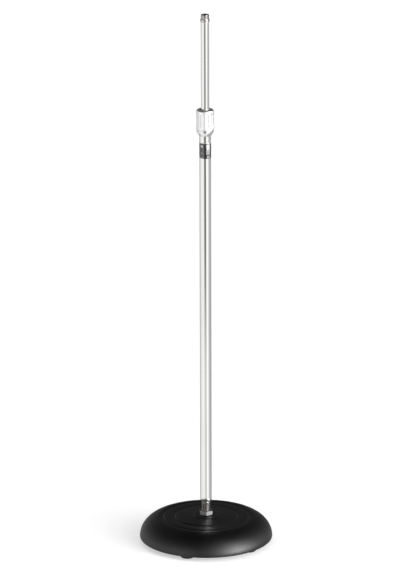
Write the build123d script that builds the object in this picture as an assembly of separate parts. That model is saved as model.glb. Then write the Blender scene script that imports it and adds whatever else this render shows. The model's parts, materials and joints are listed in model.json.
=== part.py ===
from build123d import *
import os
from math import acos, degrees, sqrt

# A straight microphone stand: a domed cast-iron base on five rubber feet, a chromed lower tube
# screwed into it, and a thinner chromed tube that slides in and out of the lower one. A twist-grip
# clutch at the joint of the two tubes squeezes a slotted collet onto the thin tube and holds it.
# Millimetres, +Z up, origin on the floor under the middle of the base.
# Threads are drawn as plain cylinders of their outer diameter.

# ------------------------------------------------------------------ driving dimensions
# microphone thread, 5/8 inch with 27 turns to the inch, used at the top and in the base
THREAD_R = 15.875 / 2
THREAD_CHAMFER = 1.0
THREAD_GAP = 0.05

# gap between parts that turn or slide on each other, and between parts that only stay clear
RUNNING_GAP = 0.05
CLEAR_GAP = 0.35

# cast base: a thin-walled dome with a stepped flat top and a rim that is part of an ellipse, widest
# at RIM_Z; the rim meets the flat top in a soft edge at CROWN_R
BASE_R = 254.0 / 2
RIM_REACH = 44.0
RIM_RISE = 39.4
RIM_WALL = 7.0
LIP_ROUND_R = 1.5
LIP_Z = 8.0
RIM_Z = LIP_Z + LIP_ROUND_R
RIM_CENTRE_R = BASE_R - RIM_REACH
CROWN_R = 91.0
CROWN_SHARE = (CROWN_R - RIM_CENTRE_R) / RIM_REACH
CROWN_Z = RIM_Z + RIM_RISE * sqrt(1 - CROWN_SHARE**2)
HUB_TOP_Z = 51.0
HUB_TOP_R = 24.0
HUB_STEP = 1.2
INNER_STEP_R = 60.0
INNER_STEP_Z = 49.6
OUTER_STEP_R = 82.0
OUTER_STEP_Z = 48.8
STEP_GROOVE = 1.6
HUB_R = 20.0
HUB_BOTTOM_Z = 16.0
PLATE_WALL = 8.0

# five rubber feet under the rim, each held up to a boss of the casting by a screw and a washer
FOOT_COUNT = 5
FOOT_CIRCLE_R = 104.0
FIRST_FOOT_ANGLE = 250.0
FOOT_TOP_R = 14.0
FOOT_SOLE_R = 11.0
FOOT_HEIGHT = 12.0
FOOT_BOSS_R = 12.0
FOOT_RECESS_R = 6.6
FOOT_RECESS_DEPTH = 6.0
SCREW_R = 2.0
SCREW_HOLE_R = 2.3
SCREW_HEAD_R = 4.0
SCREW_HEAD_HEIGHT = 2.6
SCREW_LENGTH = 20.0
WASHER_R = 5.8
WASHER_THICKNESS = 1.0

# lock washer and hexagon lock nut on top of the hub
LOCK_WASHER_R = 12.2
LOCK_WASHER_THICKNESS = 1.4
LOCK_WASHER_SLIT = 2.0
NUT_FLATS = 23.8
NUT_HEIGHT = 8.0
NUT_CORNER_CHAMFER = 1.5
NUT_ANGLE = 33.0

# lower tube, its threaded end fitting and the rubber bumper inside it
LOWER_TUBE_R = 22.2 / 2
TUBE_WALL = 1.2
LOWER_TUBE_BORE_R = LOWER_TUBE_R - TUBE_WALL
LOWER_TUBE_Z = 80.5
LOWER_TUBE_TOP_Z = 828.0
STUD_BOTTOM_Z = 20.0
SHOULDER_HEIGHT = 3.0
SHOULDER_TIP_R = 8.4
SHANK_LENGTH = 15.5
BUMPER_R = 9.6
BUMPER_HEIGHT = 5.0

# blank foil band stuck round the front of the lower tube
LABEL_Z = 761.0
LABEL_HEIGHT = 30.0
LABEL_THICKNESS = 0.1
LABEL_WRAP = 240.0

# clutch ferrule: a skirt, a threaded spigot and a cone seat, pressed onto the lower tube
FERRULE_Z = 804.0
FERRULE_TIP_R = 11.6
SKIRT_R = 16.2
SKIRT_CONE_HEIGHT = 7.0
SKIRT_TOP_Z = 816.0
SPIGOT_R = 14.0
SPIGOT_TOP_Z = 842.0
LIP_BORE_R = 8.4
SEAT_Z = 832.4
SEAT_TIP_R = 9.45
SEAT_SLOPE = 0.27

# collet, thrust washer and fluted clutch sleeve
COLLET_BORE_R = 7.97
COLLET_Z = 833.0
COLLET_SEAT_GAP = 0.1
COLLET_FLANGE_Z = 842.6
COLLET_FLANGE_R = 13.2
COLLET_TOP_Z = 845.0
COLLET_SLOT = 1.2
COLLET_SLOT_TOP_Z = 841.0
THRUST_THICKNESS = 1.2
SLEEVE_R = 17.0
SLEEVE_Z = 816.2
SLEEVE_CHAMFER = 0.8
SLEEVE_TOP_Z = 856.0
SLEEVE_TOP_R = 9.8
SHOULDER_CURVE = ((0, 5.0), (0.5, 3.6), (1.3, 2.4), (2.8, 1.5))
FLUTE_COUNT = 10
FLUTE_R = 9.0
FLUTE_DEPTH = 1.0
FLUTE_LOW_Z = 823.0
FLUTE_HIGH_Z = 845.0
FLUTE_ANGLE = 247.0

# upper tube, the split guide bush at its lower end and the threaded fitting on its top, whose
# thread length includes the relief groove under it
UPPER_TUBE_R = THREAD_R
UPPER_TUBE_BORE_R = UPPER_TUBE_R - TUBE_WALL
UPPER_TUBE_Z = 250.0
STAND_HEIGHT = 1037.0
TOP_THREAD_LENGTH = 8.5
THREAD_RELIEF_DEPTH = 0.9
THREAD_RELIEF_HEIGHT = 1.0
COLLAR_HEIGHT = 6.0
COLLAR_R = 8.9
COLLAR_BEVEL = 0.8
UPPER_TUBE_TOP_Z = STAND_HEIGHT - TOP_THREAD_LENGTH - COLLAR_HEIGHT
TOP_SHANK_LENGTH = 14.0
TOP_BORE_R = 4.6
BUSH_HEIGHT = 13.0
BUSH_GROOVE_DEPTH = 0.5
BUSH_GROOVE_Z = UPPER_TUBE_Z + 6.0
BUSH_GROOVE_HEIGHT = 2.0
BUSH_SLIT = 1.5

STANDING = (Align.CENTER, Align.CENTER, Align.MIN)
FOOT_PLACES = PolarLocations(FOOT_CIRCLE_R, FOOT_COUNT, start_angle=FIRST_FOOT_ANGLE)


# ------------------------------------------------------------------ shape helpers
def turned(*points):
    """A solid turned about the stand's axis, from a closed outline of (radius, height) points."""
    return revolve(Plane.XZ * make_face(Polyline(*points, close=True)), Axis.Z)


def rod(radius, low, high):
    """A round bar on the stand's axis between two heights."""
    return Pos(0, 0, low) * Cylinder(radius, high - low, align=STANDING)


def ring(outer_r, inner_r, low, high):
    """A plain ring on the stand's axis between two heights."""
    return rod(outer_r, low, high) - rod(inner_r, low, high)


def cross_slots(width, low, high, pairs):
    """Flat blades through the stand's axis, which cut two slots each, evenly spaced."""
    blade = Box(2 * BASE_R, width, high - low, align=STANDING)
    return [Pos(0, 0, low) * Rot(0, 0, 180 / pairs * turn) * blade for turn in range(pairs)]


def half_slot(width, low, high, angle):
    """A flat blade from the stand's axis outwards, which cuts one slot at an angle."""
    blade = Box(BASE_R, width, high - low, align=(Align.MIN, Align.CENTER, Align.MIN))
    return Pos(0, 0, low) * Rot(0, 0, angle) * blade


def at_feet(solid):
    """Five copies of a solid drawn on the stand's axis, one over each foot."""
    return [place * solid for place in FOOT_PLACES]


# ------------------------------------------------------------------ base
def rim_curve(wall, arc_size):
    """Part of the rim's ellipse, from the widest point upwards, moved inwards by a wall."""
    centre = (RIM_CENTRE_R, RIM_Z)
    return EllipticalCenterArc(centre, RIM_REACH - wall, RIM_RISE - wall, 0, arc_size=arc_size)


def dome():
    """The outside of the casting as a full solid: raised hub, two grooved steps and a rounded rim."""
    top = Polyline(
        (0, LIP_Z),
        (0, HUB_TOP_Z),
        (HUB_TOP_R - HUB_STEP, HUB_TOP_Z),
        (HUB_TOP_R, HUB_TOP_Z - HUB_STEP),
        (INNER_STEP_R - STEP_GROOVE, INNER_STEP_Z),
        (INNER_STEP_R, INNER_STEP_Z - STEP_GROOVE),
        (INNER_STEP_R + 2 * STEP_GROOVE, INNER_STEP_Z - STEP_GROOVE / 2),
        (OUTER_STEP_R - STEP_GROOVE, OUTER_STEP_Z),
        (OUTER_STEP_R, OUTER_STEP_Z - STEP_GROOVE),
        (OUTER_STEP_R + 2 * STEP_GROOVE, CROWN_Z),
        (CROWN_R, CROWN_Z),
    )
    lip = CenterArc((BASE_R - LIP_ROUND_R, RIM_Z), LIP_ROUND_R, 270, 90)
    underside = Line((BASE_R - LIP_ROUND_R, LIP_Z), (0, LIP_Z))
    rim = rim_curve(0, degrees(acos(CROWN_SHARE)))
    return revolve(Plane.XZ * make_face([top, rim, lip, underside]), Axis.Z)


def hollow():
    """The empty space under the dome, before its hub and foot bosses are put back."""
    inner_r = BASE_R - RIM_WALL
    open_z = LIP_Z - LIP_ROUND_R
    sides = Polyline(
        (RIM_CENTRE_R, RIM_Z + RIM_RISE - RIM_WALL),
        (HUB_R, INNER_STEP_Z - PLATE_WALL),
        (0, INNER_STEP_Z - PLATE_WALL),
        (0, open_z),
        (inner_r, open_z),
        (inner_r, RIM_Z),
    )
    return revolve(Plane.XZ * make_face([sides, rim_curve(RIM_WALL, 90)]), Axis.Z)


def base_casting():
    """The iron base, with a bored hub in the middle and a drilled boss over each foot."""
    hub = rod(HUB_R, HUB_BOTTOM_Z, HUB_TOP_Z)
    boss = rod(FOOT_BOSS_R, FOOT_HEIGHT, CROWN_Z)
    screw_hole = rod(SCREW_R + THREAD_GAP, FOOT_HEIGHT, FOOT_RECESS_DEPTH + SCREW_LENGTH + 2)
    casting = dome() - (hollow() - hub - at_feet(boss))
    return casting - rod(THREAD_R + THREAD_GAP, 0, STAND_HEIGHT) - at_feet(screw_hole)


def foot():
    """A tapered rubber foot, recessed from below for its screw head and washer."""
    body = turned(
        (0, 0),
        (FOOT_SOLE_R, 0),
        (FOOT_SOLE_R + 1.8, 1.2),
        (FOOT_TOP_R, 5.0),
        (FOOT_TOP_R, FOOT_HEIGHT - 1),
        (FOOT_TOP_R - 1, FOOT_HEIGHT),
        (0, FOOT_HEIGHT),
    )
    return body - rod(FOOT_RECESS_R, 0, FOOT_RECESS_DEPTH) - rod(SCREW_HOLE_R, 0, FOOT_HEIGHT)


def foot_washer():
    """The steel washer between a foot's screw head and the rubber."""
    return ring(WASHER_R, SCREW_HOLE_R, FOOT_RECESS_DEPTH - WASHER_THICKNESS, FOOT_RECESS_DEPTH)


def foot_screw():
    """A pan-head screw that runs up through washer and foot into the casting."""
    head_top = FOOT_RECESS_DEPTH - WASHER_THICKNESS
    head = turned(
        (0, head_top - SCREW_HEAD_HEIGHT),
        (SCREW_HEAD_R - 1, head_top - SCREW_HEAD_HEIGHT),
        (SCREW_HEAD_R, head_top - SCREW_HEAD_HEIGHT + 1),
        (SCREW_HEAD_R, head_top),
        (0, head_top),
    )
    drive_depth = 1.4
    drive_span = 4.6
    recess = Pos(0, 0, head_top - SCREW_HEAD_HEIGHT) * Box(drive_span, 1, drive_depth, align=STANDING)
    shank = rod(SCREW_R, head_top, head_top + SCREW_LENGTH)
    return head + shank - recess - Rot(0, 0, 90) * recess


# ------------------------------------------------------------------ joint of tube and base
def lock_washer():
    """The split spring washer between hub and lock nut."""
    top = HUB_TOP_Z + LOCK_WASHER_THICKNESS
    body = ring(LOCK_WASHER_R, THREAD_R + CLEAR_GAP, HUB_TOP_Z, top)
    return body - half_slot(LOCK_WASHER_SLIT, HUB_TOP_Z, top, 60)


def lock_nut():
    """The hexagon nut that locks the stud in the hub, with its corners turned down at both ends."""
    low = HUB_TOP_Z + LOCK_WASHER_THICKNESS
    high = low + NUT_HEIGHT
    blank = extrude(RegularPolygon(NUT_FLATS / 2, 6, major_radius=False), NUT_HEIGHT)
    face_r = NUT_FLATS / 2
    drop = NUT_CORNER_CHAMFER
    envelope = turned(
        (0, low),
        (face_r, low),
        (face_r + 2 * drop, low + drop),
        (face_r + 2 * drop, high - drop),
        (face_r, high),
        (0, high),
    )
    return Pos(0, 0, low) * Rot(0, 0, NUT_ANGLE) * blank & envelope - rod(THREAD_R + THREAD_GAP, low, high)


def tube_plug():
    """The steel end of the lower tube: a stud for the hub, a conical shoulder and a shank."""
    shoulder_z = LOWER_TUBE_Z - SHOULDER_HEIGHT
    return turned(
        (0, STUD_BOTTOM_Z),
        (THREAD_R - THREAD_CHAMFER, STUD_BOTTOM_Z),
        (THREAD_R, STUD_BOTTOM_Z + THREAD_CHAMFER),
        (THREAD_R, shoulder_z),
        (SHOULDER_TIP_R, shoulder_z),
        (LOWER_TUBE_R, LOWER_TUBE_Z),
        (LOWER_TUBE_BORE_R, LOWER_TUBE_Z),
        (LOWER_TUBE_BORE_R, LOWER_TUBE_Z + SHANK_LENGTH),
        (0, LOWER_TUBE_Z + SHANK_LENGTH),
    )


# ------------------------------------------------------------------ lower tube and what is on it
def lower_tube():
    """The chromed outer tube."""
    return ring(LOWER_TUBE_R, LOWER_TUBE_BORE_R, LOWER_TUBE_Z, LOWER_TUBE_TOP_Z)


def rubber_bumper():
    """The rubber disc on the end fitting that the upper tube comes down on."""
    low = LOWER_TUBE_Z + SHANK_LENGTH
    high = low + BUMPER_HEIGHT
    return turned((0, low), (BUMPER_R, low), (BUMPER_R, high - 1), (BUMPER_R - 1, high), (0, high))


def label_band():
    """The foil band, wrapped round the front and open at the back."""
    outer_r = LOWER_TUBE_R + LABEL_THICKNESS
    section = Pos((LOWER_TUBE_R + outer_r) / 2, LABEL_Z + LABEL_HEIGHT / 2) * Rectangle(
        LABEL_THICKNESS, LABEL_HEIGHT
    )
    band = revolve(Plane.XZ * section, Axis.Z, LABEL_WRAP)
    return Rot(0, 0, 270 - LABEL_WRAP / 2) * band


def seat_radius(height):
    """The radius of the ferrule's cone seat at a height."""
    return SEAT_TIP_R + SEAT_SLOPE * (height - SEAT_Z)


def clutch_ferrule():
    """The fixed half of the clutch, on top of the lower tube."""
    return turned(
        (LOWER_TUBE_R, FERRULE_Z),
        (FERRULE_TIP_R, FERRULE_Z),
        (SKIRT_R, FERRULE_Z + SKIRT_CONE_HEIGHT),
        (SKIRT_R, SKIRT_TOP_Z),
        (SPIGOT_R, SKIRT_TOP_Z),
        (SPIGOT_R, SPIGOT_TOP_Z),
        (seat_radius(SPIGOT_TOP_Z), SPIGOT_TOP_Z),
        (seat_radius(SEAT_Z), SEAT_Z),
        (LIP_BORE_R, SEAT_Z),
        (LIP_BORE_R, LOWER_TUBE_TOP_Z),
        (LOWER_TUBE_R, LOWER_TUBE_TOP_Z),
    )


# ------------------------------------------------------------------ clutch
def collet():
    """The slotted taper that the clutch squeezes onto the upper tube."""
    body = turned(
        (COLLET_BORE_R, COLLET_Z),
        (seat_radius(COLLET_Z) - COLLET_SEAT_GAP, COLLET_Z),
        (seat_radius(SPIGOT_TOP_Z) - COLLET_SEAT_GAP, SPIGOT_TOP_Z),
        (seat_radius(SPIGOT_TOP_Z) - COLLET_SEAT_GAP, COLLET_FLANGE_Z),
        (COLLET_FLANGE_R, COLLET_FLANGE_Z),
        (COLLET_FLANGE_R, COLLET_TOP_Z),
        (COLLET_BORE_R, COLLET_TOP_Z),
    )
    return body - cross_slots(COLLET_SLOT, COLLET_Z, COLLET_SLOT_TOP_Z, 2)


def thrust_washer():
    """The slippery washer that the sleeve turns against."""
    top = COLLET_TOP_Z + THRUST_THICKNESS
    return ring(COLLET_FLANGE_R, UPPER_TUBE_R + CLEAR_GAP, COLLET_TOP_Z, top)


def clutch_sleeve():
    """The twist grip: threaded inside, ten shallow flutes outside and a rounded shoulder."""
    ceiling = COLLET_TOP_Z + THRUST_THICKNESS + RUNNING_GAP
    shoulder = [(SLEEVE_R - inwards, SLEEVE_TOP_Z - down) for inwards, down in SHOULDER_CURVE]
    body = turned(
        (SPIGOT_R + THREAD_GAP, SLEEVE_Z),
        (SLEEVE_R - SLEEVE_CHAMFER, SLEEVE_Z),
        (SLEEVE_R, SLEEVE_Z + SLEEVE_CHAMFER),
        *shoulder,
        (SLEEVE_TOP_R, SLEEVE_TOP_Z),
        (UPPER_TUBE_R + CLEAR_GAP, SLEEVE_TOP_Z),
        (UPPER_TUBE_R + CLEAR_GAP, ceiling),
        (SPIGOT_R + THREAD_GAP, ceiling),
    )
    cutter = rod(FLUTE_R, FLUTE_LOW_Z, FLUTE_HIGH_Z)
    cutter += Pos(0, 0, FLUTE_LOW_Z) * Sphere(FLUTE_R)
    cutter += Pos(0, 0, FLUTE_HIGH_Z) * Sphere(FLUTE_R)
    cutter_circle_r = SLEEVE_R + FLUTE_R - FLUTE_DEPTH
    return body - PolarLocations(cutter_circle_r, FLUTE_COUNT, start_angle=FLUTE_ANGLE) * cutter


# ------------------------------------------------------------------ upper tube and what is on it
def upper_tube():
    """The chromed inner tube, with a snap groove for its guide bush near the lower end."""
    tube = ring(UPPER_TUBE_R, UPPER_TUBE_BORE_R, UPPER_TUBE_Z, UPPER_TUBE_TOP_Z)
    groove_floor = UPPER_TUBE_R - BUSH_GROOVE_DEPTH
    return tube - ring(LOWER_TUBE_R, groove_floor, BUSH_GROOVE_Z, BUSH_GROOVE_Z + BUSH_GROOVE_HEIGHT)


def guide_bush():
    """The split nylon bush that centres the upper tube in the lower one."""
    bore_r = UPPER_TUBE_R + RUNNING_GAP
    rib_r = bore_r - BUSH_GROOVE_DEPTH
    rib_low = BUSH_GROOVE_Z + RUNNING_GAP
    rib_high = BUSH_GROOVE_Z + BUSH_GROOVE_HEIGHT - RUNNING_GAP
    outer_r = LOWER_TUBE_BORE_R - RUNNING_GAP
    top = UPPER_TUBE_Z + BUSH_HEIGHT
    bush = turned(
        (bore_r, UPPER_TUBE_Z),
        (outer_r - 1, UPPER_TUBE_Z),
        (outer_r, UPPER_TUBE_Z + 1),
        (outer_r, top - 1),
        (outer_r - 1, top),
        (bore_r, top),
        (bore_r, rib_high),
        (rib_r, rib_high),
        (rib_r, rib_low),
        (bore_r, rib_low),
    )
    return bush - half_slot(BUSH_SLIT, UPPER_TUBE_Z, top, 0)


def top_thread():
    """The hollow end fitting of the upper tube: shank, bevelled collar, relief groove and thread."""
    collar_top_z = UPPER_TUBE_TOP_Z + COLLAR_HEIGHT
    thread_z = collar_top_z + THREAD_RELIEF_HEIGHT
    return turned(
        (TOP_BORE_R, UPPER_TUBE_TOP_Z - TOP_SHANK_LENGTH),
        (UPPER_TUBE_BORE_R, UPPER_TUBE_TOP_Z - TOP_SHANK_LENGTH),
        (UPPER_TUBE_BORE_R, UPPER_TUBE_TOP_Z),
        (COLLAR_R - COLLAR_BEVEL, UPPER_TUBE_TOP_Z),
        (COLLAR_R, UPPER_TUBE_TOP_Z + COLLAR_BEVEL),
        (COLLAR_R, collar_top_z - COLLAR_BEVEL),
        (COLLAR_R - COLLAR_BEVEL, collar_top_z),
        (THREAD_R - THREAD_RELIEF_DEPTH, collar_top_z),
        (THREAD_R - THREAD_RELIEF_DEPTH, thread_z),
        (THREAD_R, thread_z),
        (THREAD_R, STAND_HEIGHT - THREAD_CHAMFER),
        (THREAD_R - THREAD_CHAMFER, STAND_HEIGHT),
        (TOP_BORE_R, STAND_HEIGHT),
    )


# ------------------------------------------------------------------ assembly
def sub_parts():
    """Every sub-part at rest, by name."""
    parts = {
        "base_casting": base_casting(),
        "foot_washers": Compound(at_feet(foot_washer())),
        "foot_screws": Compound(at_feet(foot_screw())),
        "lock_washer": lock_washer(),
        "lock_nut": lock_nut(),
        "tube_plug": tube_plug(),
        "lower_tube": lower_tube(),
        "rubber_bumper": rubber_bumper(),
        "label_band": label_band(),
        "clutch_ferrule": clutch_ferrule(),
        "collet": collet(),
        "thrust_washer": thrust_washer(),
        "clutch_sleeve": clutch_sleeve(),
        "guide_bush": guide_bush(),
        "upper_tube": upper_tube(),
        "top_thread": top_thread(),
    }
    for number, placed in enumerate(at_feet(foot()), start=1):
        parts[f"foot_{number}"] = placed
    return parts


os.makedirs("parts", exist_ok=True)
for name, solid in sub_parts().items():
    export_step(solid, f"parts/{name}.step")
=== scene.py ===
import json
from math import acos, atan2, cos, degrees, exp, hypot, log, pi, radians, sin, sqrt

import bmesh
import bpy
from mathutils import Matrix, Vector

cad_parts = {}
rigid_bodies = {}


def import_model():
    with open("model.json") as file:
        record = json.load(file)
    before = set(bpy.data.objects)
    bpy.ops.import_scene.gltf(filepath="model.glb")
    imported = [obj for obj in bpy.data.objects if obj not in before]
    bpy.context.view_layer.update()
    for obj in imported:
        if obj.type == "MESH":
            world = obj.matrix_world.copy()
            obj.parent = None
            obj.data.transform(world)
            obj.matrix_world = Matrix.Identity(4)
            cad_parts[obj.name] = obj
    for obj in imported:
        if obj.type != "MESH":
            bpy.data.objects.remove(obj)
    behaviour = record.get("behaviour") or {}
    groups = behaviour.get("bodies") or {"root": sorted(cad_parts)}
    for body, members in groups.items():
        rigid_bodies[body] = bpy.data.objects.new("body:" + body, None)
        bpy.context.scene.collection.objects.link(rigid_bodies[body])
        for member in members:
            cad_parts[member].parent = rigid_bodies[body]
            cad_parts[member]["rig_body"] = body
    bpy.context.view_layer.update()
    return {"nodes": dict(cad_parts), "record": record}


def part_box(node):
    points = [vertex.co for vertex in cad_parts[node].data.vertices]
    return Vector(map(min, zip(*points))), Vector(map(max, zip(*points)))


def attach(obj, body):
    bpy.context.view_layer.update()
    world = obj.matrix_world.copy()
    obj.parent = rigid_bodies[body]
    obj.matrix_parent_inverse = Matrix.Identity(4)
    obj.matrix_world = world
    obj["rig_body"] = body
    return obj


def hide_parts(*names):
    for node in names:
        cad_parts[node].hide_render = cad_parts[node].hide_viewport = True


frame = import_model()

# The looks of a straight microphone stand: chromed tubes, a fluted clutch grip, a foil band, machine
# threads and a black enamelled cast base on rubber feet. Lengths are metres, in the CAD model's frame:
# +Z up along the tubes, -Y towards the front.

MM = 0.001
scene = bpy.context.scene
nodes = frame["nodes"]

# ------------------------------------------------------------------ sizes shared with the CAD model
THREAD_R = 15.875 / 2 * MM
THREAD_PITCH = 25.4 * MM / 27
THREAD_DEPTH = 0.55 * THREAD_PITCH
THREAD_CHAMFER = 1.0 * MM
TUBE_WALL = 1.2 * MM

TUBE_SEGMENTS = 96
BASE_SEGMENTS = 192
CORNER_STEPS = 4
CORNER_MOST = 0.45

RIM_REACH = 44.0 * MM
RIM_RISE = 39.4 * MM
CROWN_R = 91.0 * MM
RIM_WALL = 7.0 * MM
LIP_ROUND = 1.5 * MM
HUB_TOP_R = 24.0 * MM
HUB_STEP = 1.2 * MM
INNER_STEP_R = 60.0 * MM
INNER_STEP_DROP = 1.4 * MM
OUTER_STEP_R = 82.0 * MM
OUTER_STEP_DROP = 2.2 * MM
STEP_GROOVE = 1.6 * MM
CROWN_EDGE = 4 * MM
SHOULDER_OVERHANG = 3.1 * MM
HUB_R = 20.0 * MM
HUB_BOTTOM = 16.0 * MM
PLATE_DEPTH = 9.4 * MM
FOOT_BOSS_R = 12.0 * MM
SCREW_HOLE_R = 2.05 * MM

NUT_FLATS = 23.8 * MM
NUT_ANGLE = radians(33)
NUT_BORE_R = 7.99 * MM
NUT_CHAMFER = 0.8 * MM
NUT_CONE_SLOPE = 2.0
WASHER_BORE_R = 8.3 * MM
WASHER_SLIT = radians(10)
WASHER_SLIT_ANGLE = radians(60)

FEET = range(1, 6)

FLUTE_COUNT = 10
FLUTE_R = 9.0 * MM
FLUTE_DEPTH = 1.0 * MM
FLUTE_ANGLE = radians(247)
FLUTE_LOW = 6.8 * MM
FLUTE_HIGH = 28.8 * MM
SLEEVE_THREAD_R = 14.05 * MM
SLEEVE_OPENING_R = 8.29 * MM
SLEEVE_TOP_R = 9.9 * MM
SLEEVE_CHAMFER = 0.8 * MM
SHOULDER_DEPTH = 6.5 * MM
SHOULDER_CURVE = ((0.1, 5.0), (0.5, 3.6), (1.3, 2.4), (2.8, 1.5))

FERRULE_THREAD_R = 14.0 * MM
FERRULE_LIP_R = 8.4 * MM
FERRULE_GAP = 0.2 * MM
SKIRT_RISE = 7.0 * MM
SEAT_TOP_R = 12.05 * MM
SEAT_FOOT_R = 9.45 * MM
SEAT_RISE = 4.4 * MM

COLLAR_HEIGHT = 6.0 * MM
RELIEF_HEIGHT = 1.0 * MM
RELIEF_DEPTH = 0.9 * MM
TOP_BORE_R = 4.6 * MM
TOP_FLARE = 0.7 * MM
LABEL_WRAP = radians(240)


# ------------------------------------------------------------------ mesh helpers
def extent(node):
    """(outer radius, lowest height, highest height) of a CAD node that stands on the axis."""
    low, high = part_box(node)
    return max(high.x, high.y), low.z, high.z


def rounded(corners, radius, steps=CORNER_STEPS):
    """The closed outline with each corner cut back by up to a radius and bent into a small curve."""
    outline = []
    for i, (r, z) in enumerate(corners):
        ends = []
        for r_next, z_next in (corners[i - 1], corners[(i + 1) % len(corners)]):
            length = hypot(r_next - r, z_next - z)
            share = min(radius, CORNER_MOST * length) / length
            ends.append((r + share * (r_next - r), z + share * (z_next - z)))
        for step in range(steps + 1):
            t = step / steps
            before, at, after = (1 - t) ** 2, 2 * t * (1 - t), t**2
            controls = zip(ends[0], (r, z), ends[1])
            outline.append(tuple(before * a + at * b + after * c for a, b, c in controls))
    return outline


def arc(centre_r, centre_z, radius, start, end, steps):
    """Points of a round stretch of an outline, from one angle to another in degrees."""
    turns = [radians(start + (end - start) * k / steps) for k in range(steps + 1)]
    return [(centre_r + radius * cos(t), centre_z + radius * sin(t)) for t in turns]


def turned(outline, segments=TUBE_SEGMENTS, start=0.0, sweep=2 * pi, radius_at=None, centre=(0, 0)):
    """Points and faces of a closed (radius, height) outline turned wholly or partly about an upright axis."""
    whole = sweep >= 2 * pi
    columns = segments if whole else segments + 1
    points = []
    for column in range(columns):
        angle = start + sweep * column / segments
        for radius, height in outline:
            r = radius_at(angle, radius, height) if radius_at else radius
            points.append((centre[0] + r * cos(angle), centre[1] + r * sin(angle), height))
    count = len(outline)
    faces = []
    for column in range(segments):
        a, b = column * count, (column + 1) % columns * count
        faces += [(a + i, b + i, b + (i + 1) % count, a + (i + 1) % count) for i in range(count)]
    if not whole:
        faces += [tuple(range(count)), tuple(reversed(range(segments * count, columns * count)))]
    return points, faces


def placed(name, data):
    """A new object of the scene, from a mesh, a camera or a light."""
    obj = bpy.data.objects.new(name, data)
    scene.collection.objects.link(obj)
    return obj


def mesh_object(name, points, faces, sharp=35):
    """A closed smooth-shaded mesh, with edges kept sharp where it turns by more than an angle in degrees."""
    mesh = bpy.data.meshes.new(name)
    mesh.from_pydata(points, [], faces)
    work = bmesh.new()
    work.from_mesh(mesh)
    bmesh.ops.remove_doubles(work, verts=work.verts, dist=1e-7)
    bmesh.ops.recalc_face_normals(work, faces=work.faces)
    work.to_mesh(mesh)
    work.free()
    finish_shading(mesh, sharp)
    return placed(name, mesh)


def finish_shading(mesh, sharp=35):
    """Smooth shading with sharp edges above an angle in degrees."""
    mesh.shade_smooth()
    mesh.set_sharp_from_angle(angle=radians(sharp))


def lathe(name, outline, **options):
    """An object turned from a closed outline."""
    return mesh_object(name, *turned(outline, **options))


def combine(target, other, operation):
    """Joins, cuts or keeps the shared part of two closed objects; the other one is used up."""
    modifier = target.modifiers.new(operation, "BOOLEAN")
    modifier.operation = operation
    modifier.solver = "EXACT"
    modifier.object = other
    graph = bpy.context.evaluated_depsgraph_get()
    mesh = bpy.data.meshes.new_from_object(target.evaluated_get(graph))
    target.modifiers.clear()
    target.data = mesh
    bpy.data.objects.remove(other)
    finish_shading(mesh)
    return target


def cylinder(name, radius, low, high, centre=(0, 0), inner_high=None, segments=48):
    """A solid round bar to join to or cut from a piece. Its top can rise towards the stand's axis."""
    points, faces = [], []
    inner_high = high if inner_high is None else inner_high
    outwards = atan2(centre[1], centre[0])
    for k in range(segments):
        angle = 2 * pi * k / segments
        top = (high + inner_high) / 2 - cos(angle - outwards) * (inner_high - high) / 2
        x, y = centre[0] + radius * cos(angle), centre[1] + radius * sin(angle)
        points += [(x, y, low), (x, y, top)]
        after = (k + 1) % segments
        faces.append((2 * k, 2 * after, 2 * after + 1, 2 * k + 1))
    faces.append(tuple(reversed(range(0, 2 * segments, 2))))
    faces.append(tuple(range(1, 2 * segments, 2)))
    return mesh_object(name, points, faces)


def thread(name, major_r, low, high, pitch=THREAD_PITCH, depth=THREAD_DEPTH, segments=64):
    """A threaded bar with a right-hand helical ridge, cut flat and chamfered at both ends."""
    # crest and root over one pitch, as (share of the pitch, share of the depth)
    ridge = ((0.0, 0.0), (0.14, 0.0), (0.45, 1.0), (0.69, 1.0))
    turns = int((high - low) / pitch) + 3
    rows = turns * len(ridge)
    points, faces = [], []
    for column in range(segments):
        angle = 2 * pi * column / segments
        for row in range(rows):
            rise, cut = ridge[row % len(ridge)]
            z = low + (row // len(ridge) + rise + column / segments - 1) * pitch
            room = max(0.0, min(z - low, high - z))
            r = min(major_r - cut * depth, major_r - THREAD_CHAMFER + room)
            points.append((r * cos(angle), r * sin(angle), z))
    for column in range(segments):
        last = column == segments - 1
        after = 0 if last else (column + 1) * rows
        shift = len(ridge) if last else 0
        for row in range(rows - 1 - shift):
            here = column * rows + row
            there = after + row + shift
            faces.append((here, there, there + 1, here + 1))
    mesh = bpy.data.meshes.new(name)
    mesh.from_pydata(points, [], faces)
    work = bmesh.new()
    work.from_mesh(mesh)
    for z, up in ((low, -1), (high, 1)):
        geometry = work.verts[:] + work.edges[:] + work.faces[:]
        bmesh.ops.bisect_plane(
            work, geom=geometry, dist=1e-8, plane_co=(0, 0, z), plane_no=(0, 0, up), clear_outer=True
        )
    bmesh.ops.holes_fill(work, edges=[e for e in work.edges if e.is_boundary], sides=0)
    bmesh.ops.triangulate(work, faces=[f for f in work.faces if len(f.verts) > 4])
    bmesh.ops.recalc_face_normals(work, faces=work.faces)
    work.to_mesh(mesh)
    work.free()
    finish_shading(mesh)
    return placed(name, mesh)


def soft_least(values, softness):
    """The least of some lengths, blended where they are nearly equal, which rounds an edge."""
    least = min(values)
    return least - softness * log(sum(exp((least - v) / softness) for v in values))


def settle(piece, node, material):
    """Gives a new piece its material, and puts it on the body and in the place of a CAD node."""
    piece.data.materials.clear()
    piece.data.materials.append(material)
    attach(piece, nodes[node]["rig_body"])
    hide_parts(node)


SLOT_OF = {part["node"]: part["material_slot"] for part in frame["record"]["subparts"]}


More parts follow.
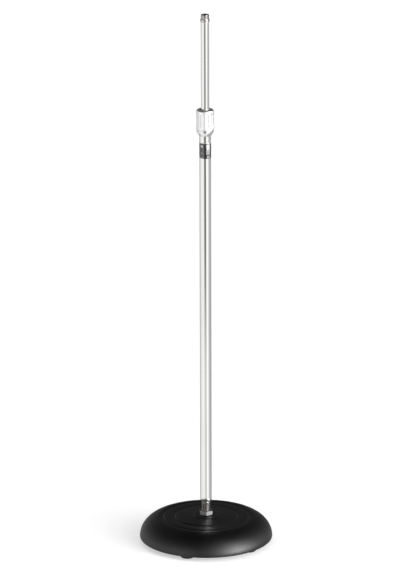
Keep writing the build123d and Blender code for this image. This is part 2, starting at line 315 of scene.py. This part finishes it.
# ------------------------------------------------------------------ shader helpers
def feed(tree, socket, value):
    """Links an output to an input, or sets the input to a value."""
    if isinstance(value, bpy.types.NodeSocket):
        tree.links.new(value, socket)
    else:
        socket.default_value = value


def add_node(tree, kind, settings=(), inputs=()):
    """A shader node with some of its settings and inputs."""
    made = tree.nodes.new(kind)
    for key, value in dict(settings).items():
        setattr(made, key, value)
    for key, value in dict(inputs).items():
        feed(tree, made.inputs[key], value)
    return made


def maths(tree, operation, *values):
    """The output of a Math node."""
    made = add_node(tree, "ShaderNodeMath", {"operation": operation}, enumerate(values))
    return made.outputs[0]


def blend_between(tree, value, low, high, out_low=0.0, out_high=1.0):
    """A smooth change from one level to another while a value goes from low to high."""
    made = add_node(
        tree,
        "ShaderNodeMapRange",
        {"interpolation_type": "SMOOTHSTEP"},
        {"Value": value, "From Min": low, "From Max": high, "To Min": out_low, "To Max": out_high},
    )
    return made.outputs[0]


def window(tree, value, low, high, soft):
    """1 while a value is between two limits and 0 beyond them, with soft ends."""
    rise = blend_between(tree, value, low - soft, low + soft)
    fall = blend_between(tree, value, high - soft, high + soft, 1.0, 0.0)
    return maths(tree, "MULTIPLY", rise, fall)


def mix(tree, share, first, second, blend="MIX"):
    """A colour part of the way from a first one to a second one, or to their product."""
    settings = {"data_type": "RGBA", "blend_type": blend}
    return add_node(tree, "ShaderNodeMix", settings, {0: share, 6: first, 7: second}).outputs[2]


def noise(tree, scale, stretch=(1, 1, 1), detail=3.0, roughness=0.5):
    """Noise over the object's own coordinates: scale is features per metre, stretch scales each axis."""
    coordinates = add_node(tree, "ShaderNodeTexCoord").outputs["Object"]
    mapping = add_node(tree, "ShaderNodeMapping", {}, {"Vector": coordinates, "Scale": stretch})
    made = add_node(
        tree,
        "ShaderNodeTexNoise",
        {},
        {"Vector": mapping.outputs[0], "Scale": scale, "Detail": detail, "Roughness": roughness},
    )
    return made.outputs["Fac"]


def bump(tree, height, distance, normal=None, strength=1.0):
    """The normal of a surface raised by up to a distance."""
    inputs = {"Height": height, "Distance": distance, "Strength": strength}
    if normal is not None:
        inputs["Normal"] = normal
    return add_node(tree, "ShaderNodeBump", {}, inputs).outputs[0]


def ramp(tree, value, stops):
    """A colour ramp over a value, from (place, colour) stops."""
    made = add_node(tree, "ShaderNodeValToRGB", {}, {"Fac": value})
    while len(made.color_ramp.elements) < len(stops):
        made.color_ramp.elements.new(0.5)
    for element, (place, colour) in zip(made.color_ramp.elements, stops):
        element.position = place
        element.color = (*colour, 1)
    return made.outputs[0]


def new_material(name, **sockets):
    """A material with plain values on its Principled shader: its tree and shader, to add detail to."""
    made = bpy.data.materials.new(name)
    made.use_nodes = True
    shader = made.node_tree.nodes["Principled BSDF"]
    for key, value in sockets.items():
        shader.inputs[key.replace("_", " ")].default_value = value
    return made, made.node_tree, shader


# ------------------------------------------------------------------ materials
def chrome(name, tint, rough_low, rough_high, stretch):
    """Polished chrome plate: faint smears and fine polishing lines along one direction."""
    made, tree, shader = new_material(name, Metallic=1.0)
    smears = noise(tree, 9.0, (1, 1, 0.35), 4.0)
    lines = noise(tree, 900.0, stretch, 2.0)
    mixed = maths(tree, "MULTIPLY_ADD", lines, 0.5, maths(tree, "MULTIPLY", smears, 0.5))
    shade = tuple(0.93 * c for c in tint)
    feed(tree, shader.inputs["Base Color"], ramp(tree, smears, ((0.35, shade), (0.65, tint))))
    feed(tree, shader.inputs["Roughness"], blend_between(tree, mixed, 0.3, 0.7, rough_low, rough_high))
    feed(tree, shader.inputs["Normal"], bump(tree, lines, 0.002 * MM))
    return made


def enamel():
    """Black enamel over cast iron: soft orange peel over the casting's broad unevenness."""
    made, tree, shader = new_material("black enamel", Specular_IOR_Level=0.5)
    peel = noise(tree, 700.0, detail=2.0)
    casting = noise(tree, 60.0, detail=3.0)
    handling = noise(tree, 14.0, detail=5.0, roughness=0.6)
    colour = ramp(tree, handling, ((0.3, (0.0018, 0.0019, 0.0019)), (0.7, (0.0028, 0.0029, 0.0028))))
    feed(tree, shader.inputs["Base Color"], colour)
    feed(tree, shader.inputs["Roughness"], blend_between(tree, handling, 0.3, 0.75, 0.33, 0.42))
    relief = bump(tree, casting, 0.10 * MM)
    feed(tree, shader.inputs["Normal"], bump(tree, peel, 0.03 * MM, relief))
    return made


def rubber():
    """Matt black moulded rubber with a fine grain and a little dust."""
    made, tree, shader = new_material("black rubber", Specular_IOR_Level=0.35)
    grain = noise(tree, 2600.0, detail=2.0)
    dust = noise(tree, 120.0, detail=4.0)
    colour = ramp(tree, dust, ((0.4, (0.012, 0.012, 0.012)), (0.8, (0.03, 0.029, 0.027))))
    feed(tree, shader.inputs["Base Color"], colour)
    feed(tree, shader.inputs["Roughness"], blend_between(tree, grain, 0.3, 0.7, 0.68, 0.85))
    feed(tree, shader.inputs["Normal"], bump(tree, grain, 0.04 * MM))
    return made


def machined(name, tint, rough_low, rough_high):
    """Turned and plated steel or brass, with fine rings round its axis."""
    made, tree, shader = new_material(name, Metallic=1.0)
    rings = noise(tree, 3000.0, (0.02, 0.02, 1), 2.0)
    stain = noise(tree, 150.0, detail=4.0)
    shade = tuple(0.8 * c for c in tint)
    feed(tree, shader.inputs["Base Color"], ramp(tree, stain, ((0.35, shade), (0.65, tint))))
    feed(tree, shader.inputs["Roughness"], blend_between(tree, stain, 0.3, 0.7, rough_low, rough_high))
    feed(tree, shader.inputs["Normal"], bump(tree, rings, 0.01 * MM))
    return made


def nylon():
    """Natural moulded nylon, slightly cloudy."""
    made, tree, shader = new_material("nylon", Subsurface_Weight=0.1)
    cloud = noise(tree, 300.0, detail=3.0)
    colour = ramp(tree, cloud, ((0.3, (0.66, 0.65, 0.60)), (0.7, (0.76, 0.75, 0.71))))
    feed(tree, shader.inputs["Base Color"], colour)
    feed(tree, shader.inputs["Roughness"], blend_between(tree, cloud, 0.3, 0.7, 0.35, 0.5))
    feed(tree, shader.inputs["Normal"], bump(tree, cloud, 0.02 * MM))
    return made


def label_foil():
    """Printed foil with no lettering: a dark field on the left, plain light panels, a line at its top."""
    made, tree, shader = new_material("printed foil", Metallic=0.6)
    place = add_node(tree, "ShaderNodeTexCoord").outputs["Object"]
    split = add_node(tree, "ShaderNodeSeparateXYZ", {}, {0: place})
    across, height = split.outputs[0], split.outputs[2]
    _, low, high = extent("label_band")

    def patch(left, right, bottom, top, level):
        """A printed rectangle's level, 0 outside it: its sides in mm, and its gaps to the foil's ends."""
        inside = maths(
            tree,
            "MULTIPLY",
            window(tree, across, left * MM, right * MM, 0.15 * MM),
            window(tree, height, low + bottom * MM, high - top * MM, 0.15 * MM),
        )
        return maths(tree, "MULTIPLY", inside, level)

    light = patch(-11.5, -1.9, 2.0, 2.2, 0.16)
    for rectangle in (
        (-8.6, -4.4, 21.5, 3.6, 0.55),
        (-8.6, -4.4, 8.5, 18.0, 0.3),
        (2.0, 9.0, 7.5, 2.6, 0.42),
        (-11.5, -3.0, 0.0, 28.2, 0.5),
        (3.0, 9.0, 0.8, 24.2, 0.5),
        (-11.5, 11.5, 28.9, 0.0, 0.45),
    ):
        light = maths(tree, "MAXIMUM", light, patch(*rectangle))
    print_grain = noise(tree, 1500.0, detail=2.0)
    level = maths(tree, "MULTIPLY_ADD", print_grain, 0.06, maths(tree, "MULTIPLY", light, 0.94))
    colour = ramp(tree, level, ((0.05, (0.02, 0.02, 0.022)), (0.95, (0.75, 0.75, 0.74))))
    feed(tree, shader.inputs["Base Color"], colour)
    feed(tree, shader.inputs["Roughness"], blend_between(tree, light, 0.0, 1.0, 0.42, 0.25))
    feed(tree, shader.inputs["Normal"], bump(tree, print_grain, 0.01 * MM))
    return made


MATERIALS = {
    "tube_chrome": chrome("tube chrome", (0.96, 0.955, 0.95), 0.05, 0.10, (1, 1, 0.004)),
    "clutch_chrome": chrome("clutch chrome", (0.95, 0.95, 0.945), 0.10, 0.16, (0.2, 0.2, 1)),
    "grip_satin": chrome("satin chrome", (0.98, 0.98, 0.975), 0.34, 0.42, (0.2, 0.2, 1)),
    "stud_chrome": machined("stud plate", (0.70, 0.69, 0.68), 0.14, 0.24),
    "nut_chrome": machined("nut plate", (0.33, 0.33, 0.325), 0.52, 0.64),
    "fastener_steel": machined("zinc plate", (0.55, 0.55, 0.53), 0.3, 0.45),
    "washer_black": machined("blackened spring steel", (0.05, 0.05, 0.05), 0.35, 0.5),
    "collet_brass": machined("brass", (0.74, 0.55, 0.27), 0.22, 0.36),
    "base_enamel": enamel(),
    "foot_rubber": rubber(),
    "bush_nylon": nylon(),
    "label_foil": label_foil(),
}
for name, obj in nodes.items():
    obj.data.materials.clear()
    obj.data.materials.append(MATERIALS[SLOT_OF[name]])


# ------------------------------------------------------------------ cast base and feet
def centre_of(node):
    """The middle of a node, seen from above."""
    low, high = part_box(node)
    return ((low.x + high.x) / 2, (low.y + high.y) / 2)


def make_base():
    """The hollow iron casting: hub, two grooved steps, rounded rim, and a drilled boss over each foot."""
    base_r, low, hub_top = extent("base_casting")
    bore_r = extent("tube_plug")[0] - SHOULDER_OVERHANG
    rim_z = low + LIP_ROUND
    centre_r = base_r - RIM_REACH
    crown_angle = acos((CROWN_R - centre_r) / RIM_REACH)
    crown_z = rim_z + RIM_RISE * sin(crown_angle)

    def rim(wall, start, end):
        """Part of the rim's ellipse, moved inwards by a wall."""
        unit = arc(0, 0, 1, start, end, 40)
        return [(centre_r + x * (RIM_REACH - wall), rim_z + z * (RIM_RISE - wall)) for x, z in unit]

    def step(radius, height):
        """A step down in the plate's top, with a shallow groove at its foot."""
        return [
            (radius - STEP_GROOVE, height),
            (radius, height - STEP_GROOVE),
            (radius + 2 * STEP_GROOVE, height - STEP_GROOVE / 2),
        ]

    plate = [(bore_r, hub_top), (HUB_TOP_R - HUB_STEP, hub_top), (HUB_TOP_R, hub_top - HUB_STEP)]
    plate += step(INNER_STEP_R, hub_top - INNER_STEP_DROP) + step(OUTER_STEP_R, hub_top - OUTER_STEP_DROP)
    edge_slope = RIM_RISE / RIM_REACH * cos(crown_angle) / sin(crown_angle)
    plate += [(CROWN_R, crown_z), (CROWN_R + CROWN_EDGE, crown_z - CROWN_EDGE * edge_slope)]
    outside = rim(0, degrees(crown_angle) - 1.5, 0)
    lip = arc(base_r - LIP_ROUND, rim_z, LIP_ROUND, 0, -90, 6)[1:]
    inner_lip = arc(base_r - RIM_WALL + LIP_ROUND, rim_z, LIP_ROUND, -90, -180, 6)
    inside = rim(RIM_WALL, 0, 90)[1:]
    plate_z = hub_top - PLATE_DEPTH
    hub = [(HUB_R, plate_z), (HUB_R, HUB_BOTTOM), (bore_r, HUB_BOTTOM)]
    soft_plate = rounded([(bore_r, HUB_BOTTOM)] + plate, 0.9 * MM)
    soft_hub = rounded([(centre_r, rim_z + RIM_RISE - RIM_WALL)] + hub + [(bore_r, hub_top)], 1.5 * MM)
    outline = [p for p in soft_plate if p[1] > plate_z and p[0] < CROWN_R + 1 * MM]
    outline += outside + lip + inner_lip + inside
    outline += [p for p in soft_hub if p[1] < plate_z + 1.2 * MM and p[0] < centre_r - RIM_WALL]
    base = lathe("cast_base", outline, segments=BASE_SEGMENTS)
    for number in FEET:
        place = centre_of(f"foot_{number}")
        foot_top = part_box(f"foot_{number}")[1].z
        reach = hypot(*place) - centre_r
        height = rim_z + (RIM_RISE - RIM_WALL / 2) * sqrt(1 - (reach / (RIM_REACH - RIM_WALL / 2)) ** 2)
        boss = cylinder("boss", FOOT_BOSS_R, foot_top, height - 8 * MM, place, height - 1 * MM)
        combine(base, boss, "UNION")
        hole = cylinder("hole", SCREW_HOLE_R, foot_top - 2 * MM, foot_top + 16 * MM, place)
        combine(base, hole, "DIFFERENCE")
    settle(base, "base_casting", MATERIALS["base_enamel"])


def make_feet():
    """Five moulded rubber feet with soft edges, a ring groove in the sole and a recess for the screw."""
    for number in FEET:
        node = f"foot_{number}"
        low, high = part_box(node)
        top_r = (high.x - low.x) / 2
        sole_r = top_r - 3.0 * MM
        recess_r, recess_top, hole_r = 6.6 * MM, 6.0 * MM, 2.3 * MM
        corners = [
            (hole_r, recess_top),
            (recess_r, recess_top),
            (recess_r, 0.0),
            (recess_r + 1.3 * MM, 0.0),
            (recess_r + 1.8 * MM, 0.6 * MM),
            (recess_r + 2.3 * MM, 0.0),
            (sole_r, 0.0),
            (sole_r + 1.8 * MM, 1.2 * MM),
            (top_r, 5.0 * MM),
            (top_r, high.z - 1.0 * MM),
            (top_r - 1.0 * MM, high.z),
            (hole_r, high.z),
        ]
        foot = lathe(f"rubber_foot_{number}", rounded(corners, 0.8 * MM), segments=64, centre=centre_of(node))
        settle(foot, node, MATERIALS["foot_rubber"])


# ------------------------------------------------------------------ joint of tube and base
def make_lock_washer():
    """The split spring washer under the nut, with rounded edges."""
    outer_r, low, high = extent("lock_washer")
    corners = [(WASHER_BORE_R, low), (outer_r, low), (outer_r, high), (WASHER_BORE_R, high)]
    outline = rounded(corners, 0.35 * MM)
    start = WASHER_SLIT_ANGLE + WASHER_SLIT / 2
    washer = lathe("spring_lock_washer", outline, start=start, sweep=2 * pi - WASHER_SLIT)
    settle(washer, "lock_washer", MATERIALS["washer_black"])


def make_lock_nut():
    """The hexagon nut: flats with slightly soft corners, turned down to a cone at both ends."""
    _, low, high = extent("lock_nut")
    face_r = NUT_FLATS / 2
    rim_r = face_r + 3 * MM

    def hexagon(angle, radius, height):
        """The nut's own radius: the least of its flat and of its two end cones."""
        if radius < rim_r:
            return radius
        across = (angle - NUT_ANGLE + pi / 6) % (pi / 3) - pi / 6
        flat = face_r / cos(pi / 6 - abs(across))
        cones = [face_r + NUT_CONE_SLOPE * (height - low), face_r + NUT_CONE_SLOPE * (high - height)]
        return soft_least([flat] + cones, 0.12 * MM)

    steps = 24
    side = [(rim_r, low + (high - low) * k / steps) for k in range(steps + 1)]
    faces = [(face_r - 0.5 * MM, high), (NUT_BORE_R + NUT_CHAMFER, high), (NUT_BORE_R, high - NUT_CHAMFER)]
    faces += [(NUT_BORE_R, low + NUT_CHAMFER), (NUT_BORE_R + NUT_CHAMFER, low), (face_r - 0.5 * MM, low)]
    nut = lathe("hex_lock_nut", side + faces, segments=240, radius_at=hexagon)
    settle(nut, "lock_nut", MATERIALS["nut_chrome"])


def make_stud():
    """The threaded stud, with the cone and the shank that hold the lower tube."""
    tube_r, tube_low, _ = extent("lower_tube")
    _, low, high = extent("tube_plug")
    bore_r = tube_r - TUBE_WALL
    cone_z = tube_low - 3.0 * MM
    corners = [
        (0.0, cone_z - 2.0 * MM),
        (THREAD_R - THREAD_DEPTH, cone_z - 2.0 * MM),
        (THREAD_R - THREAD_DEPTH, cone_z - 0.4 * MM),
        (8.4 * MM, cone_z),
        (tube_r - 0.05 * MM, tube_low - 0.25 * MM),
        (tube_r - 0.05 * MM, tube_low),
        (bore_r, tube_low),
        (bore_r, high),
        (0.0, high),
    ]
    stud = thread("threaded_stud", THREAD_R, low, cone_z)
    combine(stud, lathe("shoulder", corners), "UNION")
    settle(stud, "tube_plug", MATERIALS["stud_chrome"])


# ------------------------------------------------------------------ tubes
def tube(name, node, radius, ends):
    """A chromed tube with rolled edges at both ends."""
    _, low, high = extent(node)
    inner = radius - TUBE_WALL
    outline = rounded([(inner, low), (radius, low), (radius, high), (inner, high)], ends, 6)
    made = lathe(name, outline)
    settle(made, node, MATERIALS["tube_chrome"])


def make_label():
    """The blank foil band round the front of the lower tube."""
    outer_r, low, high = extent("label_band")
    inner_r = outer_r - 0.1 * MM
    outline = rounded([(inner_r, low), (outer_r, low), (outer_r, high), (inner_r, high)], 0.04 * MM, 2)
    band = lathe("foil_band", outline, start=1.5 * pi - LABEL_WRAP / 2, sweep=LABEL_WRAP)
    settle(band, "label_band", MATERIALS["label_foil"])


def make_top_fitting():
    """The bored end fitting: shank, bevelled collar, relief groove and microphone thread."""
    collar_r, low, high = extent("top_thread")
    _, _, tube_top = extent("upper_tube")
    collar_top = tube_top + COLLAR_HEIGHT
    relief_top = collar_top + RELIEF_HEIGHT
    relief_r = THREAD_R - RELIEF_DEPTH
    shank_r = THREAD_R - TUBE_WALL
    bevel = 0.8 * MM
    corners = [
        (0.0, low),
        (shank_r, low),
        (shank_r, tube_top),
        (collar_r - bevel, tube_top),
        (collar_r, tube_top + bevel),
        (collar_r, collar_top - bevel),
        (collar_r - bevel, collar_top),
        (relief_r, collar_top),
        (relief_r, relief_top + 0.5 * MM),
        (0.0, relief_top + 0.5 * MM),
    ]
    soft = [corners[0]] + [p for p in rounded(corners, 0.25 * MM) if p[0] > 1 * MM] + [corners[-1]]
    fitting = thread("top_fitting", THREAD_R, relief_top, high)
    combine(fitting, lathe("collar", soft), "UNION")
    cutter = [
        (0.0, low - 1 * MM),
        (TOP_BORE_R, low - 1 * MM),
        (TOP_BORE_R, high - TOP_FLARE),
        (TOP_BORE_R + TOP_FLARE, high),
        (TOP_BORE_R + TOP_FLARE, high + 1 * MM),
        (0.0, high + 1 * MM),
    ]
    combine(fitting, lathe("bore", cutter, segments=64), "DIFFERENCE")
    settle(fitting, "top_thread", MATERIALS["stud_chrome"])


# ------------------------------------------------------------------ clutch
def make_ferrule():
    """The fixed half of the clutch: a coned skirt, a spigot and the collet's cone seat."""
    skirt_r, low, high = extent("clutch_ferrule")
    tube_r, _, tube_top = extent("lower_tube")
    sleeve_low = extent("clutch_sleeve")[1]
    corners = [
        (tube_r, low),
        (tube_r + 0.5 * MM, low),
        (skirt_r, low + SKIRT_RISE),
        (skirt_r, sleeve_low - FERRULE_GAP),
        (FERRULE_THREAD_R, sleeve_low - FERRULE_GAP),
        (FERRULE_THREAD_R, high),
        (SEAT_TOP_R, high),
        (SEAT_FOOT_R, tube_top + SEAT_RISE),
        (FERRULE_LIP_R, tube_top + SEAT_RISE),
        (FERRULE_LIP_R, tube_top),
        (tube_r, tube_top),
    ]
    ferrule = lathe("ferrule", rounded(corners, 0.8 * MM))
    settle(ferrule, "clutch_ferrule", MATERIALS["clutch_chrome"])


def make_sleeve():
    """The twist grip: ten shallow flutes with rounded ridges, a soft shoulder and a thin top edge."""
    sleeve_r, low, high = extent("clutch_sleeve")
    ceiling = extent("thrust_washer")[2] + 0.05 * MM
    cutter_distance = sleeve_r + FLUTE_R - FLUTE_DEPTH
    flute_low, flute_high = low + FLUTE_LOW, low + FLUTE_HIGH

    def fluted(angle, radius, height):
        """The outside's radius where a flute is cut into it, and any other radius as it is."""
        if radius < sleeve_r - 0.5 * MM:
            return radius
        beyond = max(flute_low - height, height - flute_high, 0.0)
        cutter_r = sqrt(max(FLUTE_R**2 - beyond**2, 0.0))
        turn = 2 * pi / FLUTE_COUNT
        across = (angle - FLUTE_ANGLE + turn / 2) % turn - turn / 2
        reach = cutter_r**2 - (cutter_distance * sin(across)) ** 2
        if reach <= 0:
            return radius
        return min(radius, soft_least([radius, cutter_distance * cos(across) - sqrt(reach)], 0.09 * MM))

    straight_top = high - SHOULDER_DEPTH
    rows = 34
    straight = straight_top - low - SLEEVE_CHAMFER
    side = [(sleeve_r, low + SLEEVE_CHAMFER + straight * k / rows) for k in range(rows + 1)]
    shoulder = [(sleeve_r - inwards * MM, high - down * MM) for inwards, down in SHOULDER_CURVE]
    inside = [(SLEEVE_TOP_R, high), (SLEEVE_OPENING_R, high), (SLEEVE_OPENING_R, ceiling)]
    inside += [(SLEEVE_THREAD_R, ceiling), (SLEEVE_THREAD_R, low)]
    foot = [(sleeve_r - SLEEVE_CHAMFER, low)]
    # the first corner's own curve is left out, because the side ends there
    outline = side + rounded([side[-1]] + shoulder + inside + foot, 1.0 * MM)[CORNER_STEPS + 1 :]
    sleeve = lathe("twist_grip", outline, segments=240, radius_at=fluted)
    settle(sleeve, "clutch_sleeve", MATERIALS["grip_satin"])


make_base()
make_feet()
make_lock_washer()
make_lock_nut()
make_stud()
tube("outer_tube", "lower_tube", extent("lower_tube")[0], 0.5 * MM)
tube("inner_tube", "upper_tube", THREAD_R, 0.3 * MM)
make_label()
make_top_fitting()
make_ferrule()
make_sleeve()


# ------------------------------------------------------------------ camera, floor and light
CAMERA_DISTANCE = 9.1243
CAMERA_HEIGHT = 3.293
CAMERA_PITCH = 16.952
CAMERA_YAW = -0.0008
CAMERA_ROLL = 0.14
LENS = 319.25
FLOOR_SIZE = 120.0


def make_camera():
    """A long lens from the front, looking a little down on the stand."""
    data = bpy.data.cameras.new("camera")
    data.lens = LENS
    data.sensor_width = 36.0
    data.clip_end = 200.0
    camera = placed("camera", data)
    camera.location = (0, -CAMERA_DISTANCE, CAMERA_HEIGHT)
    camera.rotation_euler = (radians(90 - CAMERA_PITCH), radians(CAMERA_ROLL), radians(CAMERA_YAW))
    scene.camera = camera


def make_floor():
    """A wide pale floor that the polished tubes don't mirror: the studio light stands in for it there."""
    half = FLOOR_SIZE / 2
    corners = [(-half, -half, 0), (half, -half, 0), (half, half, 0), (-half, half, 0)]
    mesh = bpy.data.meshes.new("floor")
    mesh.from_pydata(corners, [], [(0, 1, 2, 3)])
    floor = placed("floor", mesh)
    glow = {"Emission_Color": (1, 1, 1, 1), "Emission_Strength": 0.5}
    made, tree, shader = new_material("studio floor", Roughness=0.9, Specular_IOR_Level=0.0, **glow)
    mottle = noise(tree, 3.0, detail=2.0)
    colour = ramp(tree, mottle, ((0.3, (0.70, 0.70, 0.70)), (0.7, (0.72, 0.72, 0.72))))
    feed(tree, shader.inputs["Base Color"], colour)
    mesh.materials.append(made)
    floor.visible_glossy = False


def make_overhead():
    """A wide soft light from above, which lights the floor white and leaves a soft shadow under the base."""
    data = bpy.data.lights.new("overhead", "SUN")
    data.angle = radians(70)
    data.energy = 0.8
    light = placed("overhead", data)
    light.rotation_euler = (radians(-8), radians(-10), 0)
    light.visible_glossy = False


def make_studio():
    """The room as the chrome sees it, fixed to the stand and not to the camera: bright sides, a narrow
    dark gap in front, a darker back wall, and a strong soft box high on the right."""
    world = bpy.data.worlds.new("studio")
    world.use_nodes = True
    scene.world = world
    tree = world.node_tree
    direction = add_node(tree, "ShaderNodeTexCoord").outputs["Generated"]
    split = add_node(tree, "ShaderNodeSeparateXYZ", {}, {0: direction})
    x, y, z = split.outputs
    forward = maths(tree, "MULTIPLY", y, -1.0)
    around = maths(tree, "MULTIPLY_ADD", maths(tree, "ARCTAN2", x, forward), 0.5 / pi, 0.5)
    # brightness of the table and room below the horizon, from behind over the left to the front,
    # the right and behind again; the dark gap in front is open only high above the table
    sides = ((-180, 0.34), (-140, 0.42), (-112, 0.72), (-80, 0.90), (-40, 1.0))
    gap = ((-24, 0.66), (-12, 0.10), (4, 0.10), (17, 0.66))
    no_gap = ((-24, 0.85), (-12, 0.70), (4, 0.60), (17, 0.74))
    rest = ((26, 1.15), (46, 1.05), (66, 0.68), (84, 0.48), (112, 0.42), (150, 0.46), (180, 0.34))

    def ring(levels):
        """Grey levels round the horizon, from (angle in degrees, brightness) pairs."""
        return ramp(tree, around, [((angle + 180) / 360, (level,) * 3) for angle, level in levels])

    gap_closed, gap_open = -0.345, -0.24
    gap_share = blend_between(tree, z, gap_closed, gap_open)
    lower = mix(tree, gap_share, ring(sides + no_gap + rest), ring(sides + gap + rest))
    # the lamps and walls above the horizon, in the same order
    brightest = 16.0
    left = ((-180, 0.15), (-150, 0.45), (-125, 0.7), (-95, 1.0), (-60, 1.5), (-35, 1.5), (-18, 1.0))
    soft_box = ((-5, 0.65), (8, 0.9), (22, 2.6), (40, 10.5), (52, brightest), (64, 15.5), (78, 6.5))
    lights = left + soft_box + ((95, 1.6), (130, 0.5), (155, 0.2), (180, 0.15))
    sky = ring([(angle, level / brightest) for angle, level in lights])
    fall = maths(tree, "MULTIPLY", maths(tree, "POWER", maths(tree, "SUBTRACT", 1.0, z), 1.6), brightest)
    upper = mix(tree, 1.0, sky, fall, "MULTIPLY")
    table_edge, wall_foot = -0.15, -0.04
    mixed = mix(tree, blend_between(tree, z, table_edge, wall_foot, 1.0, 0.0), upper, lower)
    seen = add_node(tree, "ShaderNodeLightPath").outputs["Is Camera Ray"]
    feed(tree, tree.nodes["Background"].inputs["Color"], mix(tree, seen, mixed, (1, 1, 1, 1)))


scene.view_settings.view_transform = "Standard"
make_camera()
make_floor()
make_overhead()
make_studio()
